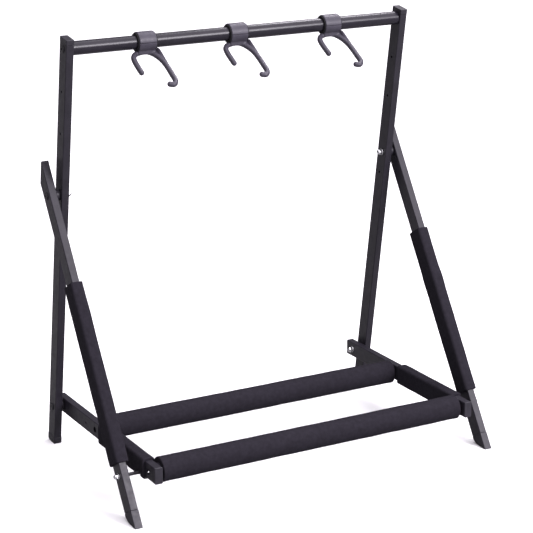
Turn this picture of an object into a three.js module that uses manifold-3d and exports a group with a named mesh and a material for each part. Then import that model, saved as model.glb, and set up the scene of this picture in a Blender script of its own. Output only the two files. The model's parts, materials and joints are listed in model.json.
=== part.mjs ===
// A folding floor rack for three guitars, in millimetres, +Z up.
// X runs along the rack, -Y is the front where the legs stand, and the floor is Z = 0.
// Two leaning uprights carry a round top bar with three neck hooks. Two front legs and a
// padded base frame hang on pivot bolts in the uprights and fold in line with them.

import * as THREE from 'three';
import { mergeVertices } from 'three/addons/utils/BufferGeometryUtils.js';
import Module from 'manifold-3d';

const manifold = await Module();
manifold.setup();

// ---------------------------------------------------------------- driving dimensions

const GAP = 0.3;                    // between separate pieces that touch
const OVER = 1;                     // how far a cutter runs past the face it cuts

const TUBE_WIDTH = 15;              // rectangular tube, across the rack
const TUBE_DEPTH = 30;
const TUBE_WALL = 1.5;
const TUBE_CORNER = 1.8;
const BORE_CORNER = 0.6;

const BAR_RADIUS = 12.7;            // round tube, 25.4 mm
const BAR_WALL = 1.5;

const ARM_INNER_X = 317.5;          // inner face of each base arm
const ARM_TO_UPRIGHT = 6;           // clearance between the side layers, filled by spacers
const UPRIGHT_TO_LEG = 8;
const ARM_X = ARM_INNER_X + TUBE_WIDTH / 2;
const UPRIGHT_X = ARM_X + TUBE_WIDTH + ARM_TO_UPRIGHT;
const LEG_X = UPRIGHT_X + TUBE_WIDTH + UPRIGHT_TO_LEG;

const UPRIGHT_LEAN = THREE.MathUtils.degToRad(7.8);    // top leans to the front
const UPRIGHT_LENGTH = 810;
const LEG_PIVOT = 514;              // along the upright, from the floor
const BASE_PIVOT = 77;
const TOP_BAR = 790;
const UPRIGHT_HOLES = [471, 632, 711];
const UPRIGHT_HOLE_RADIUS = 2.6;

const LEG_ANGLE = THREE.MathUtils.degToRad(33.75);     // from the vertical
const LEG_ROD = 524;                // from the leg pivot down to the rod that holds the base
const LEG_TOP_REACH = 30;           // the beveled top end lies this far behind the pivot
const LEG_TOP = 85;                 // length of leg stock above the pivot before the bevel
const LEG_FOAM = [170, 503];        // measured down from the leg pivot

const ARM_SLOPE = THREE.MathUtils.degToRad(1.3);       // front end higher
const ARM_REAR = -21;               // measured forward from the base pivot
const ARM_FRONT = 407;
const REAR_CROSSBAR = 151.5;
const FRONT_CROSSBAR = 379.5;
const ARM_SPARE_HOLE = 111;
const ARM_FOAM = [176, 366];

const ARM_SLEEVE_WALL = 4.7;        // foam over a rectangular tube
const LEG_SLEEVE_WALL = 5.2;
const SLEEVE_CORNER = 5.5;
const CROSSBAR_FOAM_RADIUS = 23;
const CROSSBAR_FOAM_BEVEL = 3;
const CROSSBAR_FOAM_END = 5.5;      // from the arm's inner face to the foam

const PIVOT_RADIUS = 4;             // M8 pivot bolts
const ROD_RADIUS = 3.2;
const BORE_PLAY = 0.35;
const HEAD_RADIUS = 6.8;
const HEAD_HEIGHT = 2;
const SOCKET_RADIUS = 2.4;          // hexagon sockets, to their corners
const SPACER_RADIUS = 10;
const NUT_DEPTH = 1.6;              // depth of a cap nut's bore, in thread radii
const THREAD_IN_NUT = 1.4;          // and how far the thread goes in
const INSERT_LENGTH = 25;           // threaded insert in each end of the top bar
const ROD_COLLAR = { radius: 6, width: 2.5 };
const NOTCH_FLARE = THREE.MathUtils.degToRad(34);      // of the arm's notch for the rod
const NOTCH_LIP = 1.2;
const FOAM_NOTCH_PLAY = 1.2;
const SCREW_HEAD = { radius: 5, height: 9 };           // of the screws that hold the crossbars
const WELDED_END = 12;              // closed length of each crossbar end
const SCREW_REACH = 10;
const ACCESS_HOLE_RADIUS = 5.6;     // in an arm's outer wall, for the crossbar screw

const PLATE = 3;                    // visible thickness of an end cap
const PLUG = 14;                    // how far an end cap or a foot reaches into its tube
const CAP_PROUD = 0.2;              // how far a cap stands out from its tube all round
const FOOT_BEVEL = 1.2;
const LEG_FOOT = 24;                // from the floor up to the seam, along the leg's axis
const LEG_HEEL = { length: 20, rise: 11 };
const UPRIGHT_FOOT = 15;
const UPRIGHT_HEEL = { length: 14, rise: 9 };
const TOP_CAP_SEAM = 10;            // from the upright's top down to its cap's seam
const TOP_CAP_CROWN = 3;            // height of the cap's chamfered crown
const TOP_CAP_CHAMFER = 0.9;

const HOOK_X = [-195.5, -10, 189.5];
const HOOK_NAMES = ['left', 'middle', 'right'];
const HOOK_WIDTH = 34;
const LINER_OUTER = BAR_RADIUS + 1.6;
const LINER_FLANGE = { radius: 16.8, thickness: 1.5 };
const LINER_SLIT = 1.5;
const CLAMP_INNER = LINER_OUTER + GAP;
const CLAMP_OUTER = 18.5;
const FORK_PITCH = THREE.MathUtils.degToRad(28.5);     // prongs slope down to the front
const FORK_DROP = 17;               // from the bar axis down to the fork's plane
const PRONG_RADIUS = 5;
const RIB_RADIUS = 4;
const WEB_THICKNESS = 5;            // the web's top lies below the prongs', as a shallow pocket
const WEB_TOP = 1;
const NECK = { depth: 18, height: 14, y: -3, z: -15 };   // joins the collar to the web
const HOOK_SPACE = 160;             // a cube of this side holds a whole hook, for cutting

const ROUND = 16;                   // sides of a round tube
const SMALL_ROUND = 10;              // sides of a bolt, nut or bore
const HOLE_ROUND = 8;                // sides of a plain drilled hole

// ---------------------------------------------------------------- materials

const powderCoat = new THREE.MeshStandardMaterial({ color: 0x2b2a2e, roughness: 0.45, metalness: 0.3 });
const glossCoat = new THREE.MeshStandardMaterial({ color: 0x232226, roughness: 0.28, metalness: 0.35 });
const foam = new THREE.MeshStandardMaterial({ color: 0x262428, roughness: 0.95, metalness: 0 });
const plastic = new THREE.MeshStandardMaterial({ color: 0x1f1e21, roughness: 0.6, metalness: 0 });
const hookPlastic = new THREE.MeshStandardMaterial({ color: 0x4b4a4e, roughness: 0.6, metalness: 0 });
const liner = new THREE.MeshStandardMaterial({ color: 0x121214, roughness: 0.9, metalness: 0 });
const blackSteel = new THREE.MeshStandardMaterial({ color: 0x1b1b1d, roughness: 0.4, metalness: 0.8 });
const brightSteel = new THREE.MeshStandardMaterial({ color: 0xd8d8da, roughness: 0.2, metalness: 1 });

// ---------------------------------------------------------------- solids

function toSolid(geometry) {
  const bare = geometry.clone();
  bare.deleteAttribute('normal');
  bare.deleteAttribute('uv');
  const merged = mergeVertices(bare, 1e-4);
  return new manifold.Manifold(new manifold.Mesh({
    numProp: 3,
    vertProperties: new Float32Array(merged.attributes.position.array),
    triVerts: new Uint32Array(merged.index.array),
  }));
}

function toGeometry(solid) {
  const { vertProperties, triVerts, numProp } = solid.getMesh();
  const positions = new Float32Array(triVerts.length * 3);
  triVerts.forEach((vertex, i) => {
    for (let axis = 0; axis < 3; axis += 1) {
      positions[i * 3 + axis] = vertProperties[vertex * numProp + axis];
    }
  });
  const geometry = new THREE.BufferGeometry();
  geometry.setAttribute('position', new THREE.BufferAttribute(positions, 3));
  geometry.computeVertexNormals();
  return geometry;
}

function piece(name, solid, material) {
  const mesh = new THREE.Mesh(toGeometry(solid), material);
  mesh.name = name;
  return mesh;
}

// A rectangle with rounded corners, centred on the origin.
function roundedRectangle(width, depth, corner) {
  const x = width / 2;
  const y = depth / 2;
  const shape = new THREE.Shape();
  shape.moveTo(-x + corner, -y);
  shape.lineTo(x - corner, -y);
  shape.absarc(x - corner, -y + corner, corner, -Math.PI / 2, 0);
  shape.lineTo(x, y - corner);
  shape.absarc(x - corner, y - corner, corner, 0, Math.PI / 2);
  shape.lineTo(-x + corner, y);
  shape.absarc(-x + corner, y - corner, corner, Math.PI / 2, Math.PI);
  shape.lineTo(-x, -y + corner);
  shape.absarc(-x + corner, -y + corner, corner, Math.PI, Math.PI * 1.5);
  return shape;
}

// A prism along Z between two heights.
function prism(shape, bottom, top, curveSegments = 2) {
  const depth = top - bottom;
  const geometry = new THREE.ExtrudeGeometry(shape, { depth, bevelEnabled: false, curveSegments });
  return toSolid(geometry.translate(0, 0, bottom));
}

// Turns an extrusion so that its shape's x lies along Y, its y along Z, and its depth along X.
const SIDE_VIEW = new THREE.Matrix4().makeBasis(
  new THREE.Vector3(0, 1, 0), new THREE.Vector3(0, 0, 1), new THREE.Vector3(1, 0, 0));

function box(width, depth, height, x, y, z) {
  return toSolid(new THREE.BoxGeometry(width, depth, height).translate(x, y, z));
}

// A cylinder along X from one x to another, at the given y and z.
function rodAlongX(radius, fromX, toX, y = 0, z = 0, sides = SMALL_ROUND) {
  const geometry = new THREE.CylinderGeometry(radius, radius, Math.abs(toX - fromX), sides);
  return toSolid(geometry.rotateZ(Math.PI / 2).translate((fromX + toX) / 2, y, z));
}

// A solid turned about the X axis. Its profile is a list of [x, radius] pairs that
// starts and ends on the axis, or closes on itself where closed is true.
function turnedAboutX(profile, sides = SMALL_ROUND, closed = false) {
  const points = profile.map(([x, radius]) => new THREE.Vector2(radius, -x));
  if (closed) points.push(points[0].clone());
  const geometry = new THREE.LatheGeometry(points, sides);
  const solid = toSolid(geometry.rotateZ(Math.PI / 2));
  return solid.volume() > 0 ? solid : toSolid(flipped(geometry));
}

function flipped(geometry) {
  const turned = geometry.clone();
  const order = turned.index.array;
  for (let i = 0; i < order.length; i += 3) {
    [order[i], order[i + 1]] = [order[i + 1], order[i]];
  }
  return turned;
}

// The side of a flat cutting plane that its normal points to, as a large block.
function beyondPlane(point, normal) {
  const size = 400;
  const block = new THREE.BoxGeometry(size, size, size).translate(0, 0, size / 2);
  const turn = new THREE.Quaternion().setFromUnitVectors(new THREE.Vector3(0, 0, 1), normal);
  return toSolid(block.applyQuaternion(turn).translate(point.x, point.y, point.z));
}

// ---------------------------------------------------------------- rectangular tube stock

const tubeOutline = (grow = 0) => roundedRectangle(
  TUBE_WIDTH + 2 * grow, TUBE_DEPTH + 2 * grow, TUBE_CORNER + grow);

const boreOutline = (clearance = 0) => roundedRectangle(
  TUBE_WIDTH - 2 * TUBE_WALL - 2 * clearance,
  TUBE_DEPTH - 2 * TUBE_WALL - 2 * clearance,
  BORE_CORNER);

function rectangularTube(bottom, top) {
  return prism(tubeOutline(), bottom, top).subtract(prism(boreOutline(), bottom - OVER, top + OVER, 1));
}

// A hole right through both side walls of a tube, at a height along it.
function crossHole(radius, height, sides = SMALL_ROUND) {
  const reach = TUBE_WIDTH / 2 + OVER;
  return rodAlongX(radius, -reach, reach, 0, height, sides);
}

// A flat end cap on a square-cut tube end: a plate outside and a plug inside.
function endCap(end, direction) {
  const plate = [end + direction * GAP, end + direction * PLATE].sort((a, b) => a - b);
  const plug = [end - direction * PLUG, end + direction * (GAP + OVER)].sort((a, b) => a - b);
  return prism(tubeOutline(CAP_PROUD), ...plate).add(prism(boreOutline(GAP), ...plug, 1));
}

// A foot: a solid block flush with its tube, cut level with the floor, and a plug inside
// the tube. The member stands at `lean` from the vertical, its tube ends `tubeEnd` below
// the local origin, and the floor crosses its axis at `floorAt`. The sole's rear edge
// rises in a curve, the heel.
function foot(tubeEnd, floorAt, lean, heel) {
  const half = TUBE_DEPTH / 2 + CAP_PROUD;
  const floorBehind = floorAt - half * Math.tan(lean);
  const floorAhead = floorAt + half * Math.tan(lean);
  const side = new THREE.Shape();
  side.moveTo(half, -(tubeEnd + GAP));
  side.lineTo(-half, -(tubeEnd + GAP));
  side.lineTo(-half, -floorAhead);
  side.lineTo(half - heel.length, -(floorBehind + heel.length * Math.tan(lean)));
  side.quadraticCurveTo(half, -floorBehind, half, -(floorBehind - heel.rise));
  const width = TUBE_WIDTH + 2 * CAP_PROUD;
  const block = new THREE.ExtrudeGeometry(side, {
    depth: width - 2 * FOOT_BEVEL,
    bevelEnabled: true,
    bevelThickness: FOOT_BEVEL,
    bevelSize: FOOT_BEVEL,
    bevelOffset: -FOOT_BEVEL,
    bevelSegments: 1,
    curveSegments: 5,
  });
  block.applyMatrix4(SIDE_VIEW);
  block.translate(-width / 2 + FOOT_BEVEL, 0, 0);
  const plug = prism(boreOutline(GAP), -(tubeEnd + GAP + FOOT_BEVEL + OVER), PLUG - tubeEnd, 1);
  return toSolid(block).add(plug);
}

// Foam pulled over a rectangular tube, between two heights.
function foamSleeve(wall, bottom, top) {
  const skin = roundedRectangle(TUBE_WIDTH + 2 * wall, TUBE_DEPTH + 2 * wall, SLEEVE_CORNER);
  return prism(skin, bottom, top, 3).subtract(prism(tubeOutline(GAP), bottom - OVER, top + OVER));
}

// ---------------------------------------------------------------- places

// Points of the side view as (y, z), and the directions along and across each member.
const along = (lean) => new THREE.Vector2(Math.sin(lean), Math.cos(lean));
const uprightUp = along(-UPRIGHT_LEAN);
const legUp = along(LEG_ANGLE);
const armForward = new THREE.Vector2(-Math.cos(ARM_SLOPE), Math.sin(ARM_SLOPE));
const armUp = new THREE.Vector2(Math.sin(ARM_SLOPE), Math.cos(ARM_SLOPE));

const legPivot = uprightUp.clone().multiplyScalar(LEG_PIVOT);
const basePivot = uprightUp.clone().multiplyScalar(BASE_PIVOT);
const rodPlace = legPivot.clone().addScaledVector(legUp, -LEG_ROD);
const rodFromBase = rodPlace.clone().sub(basePivot);
const rodOnArm = new THREE.Vector2(rodFromBase.dot(armForward), rodFromBase.dot(armUp));

const legFloor = legPivot.y / Math.cos(LEG_ANGLE);
const legTubeEnd = legFloor - LEG_FOOT;
const uprightTubeEnd = UPRIGHT_FOOT;

// ---------------------------------------------------------------- fasteners

// A low round-headed bolt along X. The head's underside is at `headX`, the head points
// to `direction`, and the shank runs back to `tipX`.
function roundHeadBolt(radius, headX, tipX, direction) {
  const crown = headX + direction * HEAD_HEIGHT;
  const head = turnedAboutX([
    [headX, 0], [headX, HEAD_RADIUS], [headX + direction * HEAD_HEIGHT * 0.45, HEAD_RADIUS],
    [crown, HEAD_RADIUS * 0.72], [crown, 0],
  ]);
  const socketFloor = crown - direction * HEAD_HEIGHT * 0.6;
  const socket = rodAlongX(SOCKET_RADIUS, socketFloor, crown + direction * OVER, 0, 0, 6);
  return head.add(rodAlongX(radius, headX + direction * GAP, tipX)).subtract(socket);
}

// A domed cap nut on a flange, with a blind bore, for a thread of this radius. Its seat
// is at `seatX`.
function capNut(thread, seatX, direction) {
  const corner = thread * 1.56;
  const dome = thread * 1.28;
  const flange = thread * 1.65;
  const at = (distance) => seatX + direction * distance;
  const turned = turnedAboutX([
    [at(0), 0], [at(0), flange], [at(1.2), flange], [at(1.6), dome],
    [at(thread * 1.7), dome], [at(thread * 2.3), dome * 0.61], [at(thread * 2.55), 0],
  ]);
  const hexagon = rodAlongX(corner, at(OVER), at(thread * 1.25), 0, 0, 6);
  const bore = rodAlongX(thread + BORE_PLAY, at(-OVER), at(thread * NUT_DEPTH));
  return turned.add(hexagon).subtract(bore);
}

function spacer(fromX, toX) {
  const inner = PIVOT_RADIUS + BORE_PLAY;
  return turnedAboutX(
    [[fromX, inner], [fromX, SPACER_RADIUS], [toX, SPACER_RADIUS], [toX, inner]], ROUND, true);
}

// ---------------------------------------------------------------- back frame

function buildUpright(side, sign) {
  const group = new THREE.Group();
  group.position.x = sign * UPRIGHT_X;
  const capSeat = UPRIGHT_LENGTH - TOP_CAP_SEAM;
  let tube = rectangularTube(uprightTubeEnd, capSeat);
  for (const height of UPRIGHT_HOLES) {
    tube = tube.subtract(crossHole(UPRIGHT_HOLE_RADIUS, height, HOLE_ROUND));
  }
  for (const height of [LEG_PIVOT, BASE_PIVOT]) {
    tube = tube.subtract(crossHole(PIVOT_RADIUS + BORE_PLAY, height));
  }
  tube = tube.subtract(crossHole(ROD_RADIUS + BORE_PLAY, TOP_BAR));
  group.add(piece(`${side}_upright`, tube, powderCoat));

  const shoulder = UPRIGHT_LENGTH - TOP_CAP_CROWN;
  const crown = prism(tubeOutline(CAP_PROUD), capSeat + GAP, shoulder)
    .add(prism(tubeOutline(-TOP_CAP_CHAMFER), shoulder - GAP, UPRIGHT_LENGTH))
    .add(prism(boreOutline(GAP), capSeat - TOP_CAP_CROWN, capSeat + OVER, 1));
  group.add(piece(`${side}_upright_top_cap`, crown, plastic));
  group.add(piece(`${side}_upright_foot`, foot(-uprightTubeEnd, 0, -UPRIGHT_LEAN, UPRIGHT_HEEL), plastic));
  return group;
}

function buildTopBar() {
  const group = new THREE.Group();
  group.position.z = TOP_BAR;
  const end = UPRIGHT_X - TUBE_WIDTH / 2 - GAP;
  const bore = BAR_RADIUS - BAR_WALL;
  const tube = turnedAboutX(
    [[-end, bore], [-end, BAR_RADIUS], [end, BAR_RADIUS], [end, bore]], ROUND, true);
  group.add(piece('top_bar', tube, glossCoat));
  for (const [side, sign] of [['left', -1], ['right', 1]]) {
    const insertEnd = sign * (end - INSERT_LENGTH);
    const screwTip = sign * (end - INSERT_LENGTH + ROD_RADIUS);
    const insert = turnedAboutX([
      [sign * end, ROD_RADIUS + BORE_PLAY], [sign * end, bore - GAP],
      [insertEnd, bore - GAP], [insertEnd, ROD_RADIUS + BORE_PLAY],
    ], SMALL_ROUND, true);
    group.add(piece(`${side}_top_bar_insert`, insert, plastic));
    const headSeat = sign * (UPRIGHT_X + TUBE_WIDTH / 2 + GAP);
    group.add(piece(`${side}_top_bar_bolt`, roundHeadBolt(ROD_RADIUS, headSeat, screwTip, sign), blackSteel));
  }
  return group;
}

// The bolt, spacer and cap nut of one pivot, on the back frame.
function buildPivot(name, sign, height, boltHeadX, nutSeatX, spacerFrom, spacerTo) {
  const group = new THREE.Group();
  group.position.z = height;
  const nutDirection = -sign;
  const tip = nutSeatX + nutDirection * PIVOT_RADIUS * THREAD_IN_NUT;
  group.add(piece(`${name}_bolt`, roundHeadBolt(PIVOT_RADIUS, boltHeadX, tip, sign), blackSteel));
  group.add(piece(`${name}_cap_nut`, capNut(PIVOT_RADIUS, nutSeatX, nutDirection), brightSteel));
  group.add(piece(`${name}_spacer`, spacer(spacerFrom, spacerTo), plastic));
  return group;
}

function buildBackFrame() {
  const frame = new THREE.Group();
  frame.rotation.x = UPRIGHT_LEAN;
  const half = TUBE_WIDTH / 2;
  for (const [side, sign] of [['left', -1], ['right', 1]]) {
    frame.add(buildUpright(side, sign));
    frame.add(buildPivot(
      `${side}_leg_pivot`, sign, LEG_PIVOT,
      sign * (LEG_X + half + GAP), sign * (UPRIGHT_X - half - GAP),
      sign * (UPRIGHT_X + half + GAP), sign * (LEG_X - half - GAP)));
    frame.add(buildPivot(
      `${side}_base_pivot`, sign, BASE_PIVOT,
      sign * (UPRIGHT_X + half + GAP), sign * (ARM_X - half - GAP),
      sign * (ARM_X + half + GAP), sign * (UPRIGHT_X - half - GAP)));
  }
  frame.add(buildTopBar());
  return frame;
}

// ---------------------------------------------------------------- front legs

// The leg's beveled top lies in a plane parallel to the uprights.
function behindUpright(offset) {
  const normal = new THREE.Vector3(0, Math.cos(LEG_ANGLE + UPRIGHT_LEAN), Math.sin(LEG_ANGLE + UPRIGHT_LEAN));
  return beyondPlane(normal.clone().multiplyScalar(offset), normal);
}

function buildLeg(side, sign) {
  const leg = new THREE.Group();
  leg.position.set(sign * LEG_X, legPivot.x, legPivot.y);
  leg.rotation.x = -LEG_ANGLE;

  const beveled = LEG_TOP_REACH - PLATE;
  const tube = rectangularTube(-legTubeEnd, LEG_TOP)
    .subtract(behindUpright(beveled))
    .subtract(crossHole(PIVOT_RADIUS + BORE_PLAY, 0))
    .subtract(crossHole(ROD_RADIUS + BORE_PLAY, -LEG_ROD));
  leg.add(piece(`${side}_leg`, tube, powderCoat));

  const plate = prism(tubeOutline(CAP_PROUD), 0, LEG_TOP)
    .subtract(behindUpright(LEG_TOP_REACH))
    .intersect(behindUpright(beveled + GAP));
  const plug = prism(boreOutline(GAP), 0, LEG_TOP, 1)
    .subtract(behindUpright(beveled + GAP + OVER))
    .intersect(behindUpright(beveled - PLUG / 2));
  leg.add(piece(`${side}_leg_top_cap`, plate.add(plug), plastic));

  leg.add(piece(`${side}_leg_foot`, foot(legTubeEnd, legFloor, LEG_ANGLE, LEG_HEEL), plastic));
  leg.add(piece(`${side}_leg_foam`, foamSleeve(LEG_SLEEVE_WALL, -LEG_FOAM[1], -LEG_FOAM[0]), foam));

  // The rod is bolted across the leg and reaches inward, where the base arm rests on it.
  const outerFace = sign * (TUBE_WIDTH / 2 + GAP);
  const innerFace = -outerFace;
  const rodTip = -sign * (LEG_X - ARM_X + TUBE_WIDTH / 2 - TUBE_WALL - GAP - OVER);
  const collar = rodAlongX(ROD_COLLAR.radius, innerFace, innerFace - sign * ROD_COLLAR.width);
  const threadEnd = outerFace + sign * ROD_RADIUS * THREAD_IN_NUT;
  const rod = rodAlongX(ROD_RADIUS, threadEnd, rodTip).add(collar);
  const rodMesh = piece(`${side}_base_rest_rod`, rod, blackSteel);
  const nut = capNut(ROD_RADIUS + BORE_PLAY, outerFace, sign);
  const nutMesh = piece(`${side}_base_rest_cap_nut`, nut, brightSteel);
  for (const mesh of [rodMesh, nutMesh]) {
    mesh.position.z = -LEG_ROD;
    leg.add(mesh);
  }
  return leg;
}

// ---------------------------------------------------------------- base frame

// The notch in an arm's underside, open downward and flared to the rear, which is the
// way the rod leaves it as the frame folds.
function rodNotch(play) {
  const radius = ROD_RADIUS + play;
  const { x: forward, y: up } = rodOnArm;
  const mouth = -(TUBE_DEPTH / 2 + ARM_SLEEVE_WALL + OVER) - up;
  const flare = Math.tan(NOTCH_FLARE);
  const outline = new THREE.Shape();
  outline.moveTo(up, forward + radius);
  outline.absarc(up, forward, radius, Math.PI / 2, -Math.PI / 2, true);
  outline.lineTo(up - NOTCH_LIP, forward - radius - NOTCH_LIP);
  outline.lineTo(up + mouth, forward - radius + mouth * flare);
  outline.lineTo(up + mouth, forward + radius);
  const width = TUBE_WIDTH + 2 * ARM_SLEEVE_WALL + 2 * OVER;
  const cutter = new THREE.ExtrudeGeometry(outline, { depth: width, bevelEnabled: false, curveSegments: 5 });
  cutter.applyMatrix4(SIDE_VIEW);
  return toSolid(cutter.translate(-width / 2, 0, 0));
}

function buildArm(side, sign) {
  const arm = new THREE.Group();
  arm.position.x = sign * ARM_X;
  const rear = ARM_REAR + PLATE;
  const front = ARM_FRONT - PLATE;
  const half = TUBE_WIDTH / 2;
  const outside = [sign * (half - TUBE_WALL - OVER), sign * (half + OVER)];

  let tube = rectangularTube(rear, front)
    .subtract(crossHole(PIVOT_RADIUS + BORE_PLAY, 0))
    .subtract(rodNotch(BORE_PLAY))
    .subtract(rodAlongX(UPRIGHT_HOLE_RADIUS, ...outside, 0, ARM_SPARE_HOLE, HOLE_ROUND));
  for (const place of [REAR_CROSSBAR, FRONT_CROSSBAR]) {
    tube = tube
      .subtract(rodAlongX(ACCESS_HOLE_RADIUS, ...outside, 0, place))
      .subtract(crossHole(ROD_RADIUS + BORE_PLAY, place));
  }
  arm.add(piece(`${side}_arm`, tube, powderCoat));
  arm.add(piece(`${side}_arm_front_cap`, endCap(front, 1), plastic));
  arm.add(piece(`${side}_arm_rear_cap`, endCap(rear, -1), plastic));
  const sleeve = foamSleeve(ARM_SLEEVE_WALL, ...ARM_FOAM).subtract(rodNotch(FOAM_NOTCH_PLAY));
  arm.add(piece(`${side}_arm_foam`, sleeve, foam));
  return arm;
}

function buildCrossbar(name, place) {
  const group = new THREE.Group();
  group.position.z = place;
  const end = ARM_INNER_X - GAP;
  const bore = BAR_RADIUS - BAR_WALL;
  const threadRadius = ROD_RADIUS + BORE_PLAY;
  // The tube's ends are closed by welded discs with a threaded hole for the screw.
  const tube = turnedAboutX([
    [-end, threadRadius], [-end, BAR_RADIUS], [end, BAR_RADIUS], [end, threadRadius],
    [end - WELDED_END, threadRadius], [end - WELDED_END, bore],
    [-end + WELDED_END, bore], [-end + WELDED_END, threadRadius],
  ], ROUND, true);
  group.add(piece(`${name}_crossbar`, tube, powderCoat));

  const foamEnd = ARM_INNER_X - CROSSBAR_FOAM_END;
  const bevel = CROSSBAR_FOAM_BEVEL;
  const sleeve = turnedAboutX([
    [-foamEnd, BAR_RADIUS + GAP], [-foamEnd, CROSSBAR_FOAM_RADIUS - bevel],
    [-foamEnd + bevel, CROSSBAR_FOAM_RADIUS], [foamEnd - bevel, CROSSBAR_FOAM_RADIUS],
    [foamEnd, CROSSBAR_FOAM_RADIUS - bevel], [foamEnd, BAR_RADIUS + GAP],
  ], ROUND, true);
  group.add(piece(`${name}_crossbar_foam`, sleeve, foam));

  for (const [side, sign] of [['left', -1], ['right', 1]]) {
    const seat = sign * (ARM_INNER_X + TUBE_WALL + GAP);
    const crown = seat + sign * SCREW_HEAD.height;
    const tip = sign * (end - SCREW_REACH);
    const socketFloor = crown - sign * SCREW_HEAD.height / 3;
    const socket = rodAlongX(SOCKET_RADIUS, socketFloor, crown + sign * OVER, 0, 0, 6);
    const screw = turnedAboutX([
      [tip, 0], [tip, ROD_RADIUS], [seat, ROD_RADIUS],
      [seat, SCREW_HEAD.radius], [crown, SCREW_HEAD.radius], [crown, 0],
    ]).subtract(socket);
    group.add(piece(`${name}_crossbar_${side}_screw`, screw, blackSteel));
  }
  return group;
}

function buildBaseFrame() {
  const base = new THREE.Group();
  base.position.set(0, basePivot.x, basePivot.y);
  base.rotation.x = Math.PI / 2 - ARM_SLOPE;
  base.add(buildArm('left', -1));
  base.add(buildArm('right', 1));
  base.add(buildCrossbar('rear', REAR_CROSSBAR));
  base.add(buildCrossbar('front', FRONT_CROSSBAR));
  return base;
}

// ---------------------------------------------------------------- neck hooks

// A round bar bent along points (x, forward) of the fork's plane, with ball ends.
function bentProng(points, radius, steps) {
  const places = points.map(([x, forward]) => new THREE.Vector3(x, -forward, 0));
  const path = new THREE.CatmullRomCurve3(places, false, 'centripetal');
  const section = new THREE.Shape().absarc(0, 0, radius, 0, Math.PI * 2);
  const bar = new THREE.ExtrudeGeometry(section, { steps, extrudePath: path, curveSegments: 4 });
  let solid = toSolid(bar);
  if (solid.volume() < 0) solid = toSolid(flipped(mergeVertices(bar)));
  for (const tip of [places[0], places[places.length - 1]]) {
    const ball = new THREE.SphereGeometry(radius, 8, 6).translate(tip.x, tip.y, 0);
    solid = solid.add(toSolid(ball));
  }
  return solid;
}

// Centre lines in the fork's plane. The arch joins the two prongs under the collar, and
// the rib runs down the outside of the long one.
const SHORT_PRONG = [[-30.5, 58], [-30.8, 40], [-30.3, 26], [-28, 15.5], [-20, 7], [-4, 2.5]];
const LONG_PRONG = [
  [-4, 2.5], [5, 4.2], [12.5, 10], [19, 21], [23, 35], [24.3, 52],
  [24, 72], [24, 84], [21, 93], [15.5, 97.5], [9, 95.5],
];
const OUTER_RIB = [[17, -8], [25, -1], [25.8, 14], [25, 42]];

// The web fills the corner between the collar, the arch and the rib.
const WEB_CORNERS = [
  [-19, 8], [-16, -8], [18, -10], [28, -2], [28, 20], [25, 42], [19, 22], [11, 10], [-4, 4],
];

// Room beside the collar for one flange of the liner, which the fork turns past.
function flangeRoom(sign) {
  const near = sign * HOOK_WIDTH / 2;
  const far = near + sign * (LINER_FLANGE.thickness + 2 * GAP);
  return rodAlongX(LINER_FLANGE.radius + 2 * GAP, near, far, 0, 0, ROUND);
}

function buildForkSolid() {
  const web = new THREE.Shape(WEB_CORNERS.map(([x, forward]) => new THREE.Vector2(x, -forward)));
  const plate = new THREE.ExtrudeGeometry(web, { depth: WEB_THICKNESS, bevelEnabled: false });
  plate.translate(0, 0, WEB_TOP - WEB_THICKNESS);
  const flat = bentProng(SHORT_PRONG, PRONG_RADIUS, 8)
    .add(bentProng(LONG_PRONG, PRONG_RADIUS, 16))
    .add(bentProng(OUTER_RIB, RIB_RADIUS, 4))
    .add(toSolid(plate));
  const fork = flat.rotate([THREE.MathUtils.radToDeg(FORK_PITCH), 0, 0]).translate([0, 0, -FORK_DROP]);

  const half = HOOK_WIDTH / 2;
  const neck = box(HOOK_WIDTH, NECK.depth, NECK.height, 0, NECK.y, NECK.z);
  const shell = rodAlongX(CLAMP_OUTER, -half, half, 0, 0, ROUND);
  const upperHalf = box(HOOK_SPACE, HOOK_SPACE, HOOK_SPACE, 0, 0, (HOOK_SPACE - GAP) / 2);
  const opening = rodAlongX(CLAMP_INNER, -HOOK_SPACE, HOOK_SPACE, 0, 0, ROUND);
  const body = shell.add(neck).add(fork).subtract(opening).subtract(upperHalf);
  return [-1, 1].reduce((solid, sign) => solid.subtract(flangeRoom(sign)), body);
}

function buildHook(name, x) {
  const hook = new THREE.Group();
  hook.position.set(x, 0, TOP_BAR);
  const half = HOOK_WIDTH / 2;

  // The fork hangs level with the floor's plane, so the frame's lean is taken off again.
  const level = new THREE.Group();
  level.rotation.x = -UPRIGHT_LEAN;
  level.add(piece(`${name}_hook_fork`, buildForkSolid(), hookPlastic));

  const lowerHalf = box(HOOK_SPACE, HOOK_SPACE, HOOK_SPACE, 0, 0, (GAP - HOOK_SPACE) / 2);
  const shell = rodAlongX(CLAMP_OUTER, -half, half, 0, 0, ROUND)
    .subtract(rodAlongX(CLAMP_INNER, -half - OVER, half + OVER, 0, 0, ROUND))
    .subtract(lowerHalf);
  level.add(piece(`${name}_hook_clamp`, shell, hookPlastic));

  // A slit rubber sleeve on the bar, with a flange at each end of the collar.
  const end = half + GAP + LINER_FLANGE.thickness;
  let sleeve = rodAlongX(LINER_OUTER, -end, end, 0, 0, ROUND);
  for (const sign of [-1, 1]) {
    sleeve = sleeve.add(rodAlongX(LINER_FLANGE.radius, sign * (half + GAP), sign * end, 0, 0, ROUND));
  }
  sleeve = sleeve
    .subtract(rodAlongX(BAR_RADIUS + GAP, -end - OVER, end + OVER, 0, 0, ROUND))
    .subtract(box(2 * (end + OVER), LINER_SLIT, 2 * BAR_RADIUS, 0, 0, -BAR_RADIUS));
  level.add(piece(`${name}_hook_liner`, sleeve, liner));
  hook.add(level);
  return hook;
}

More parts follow.
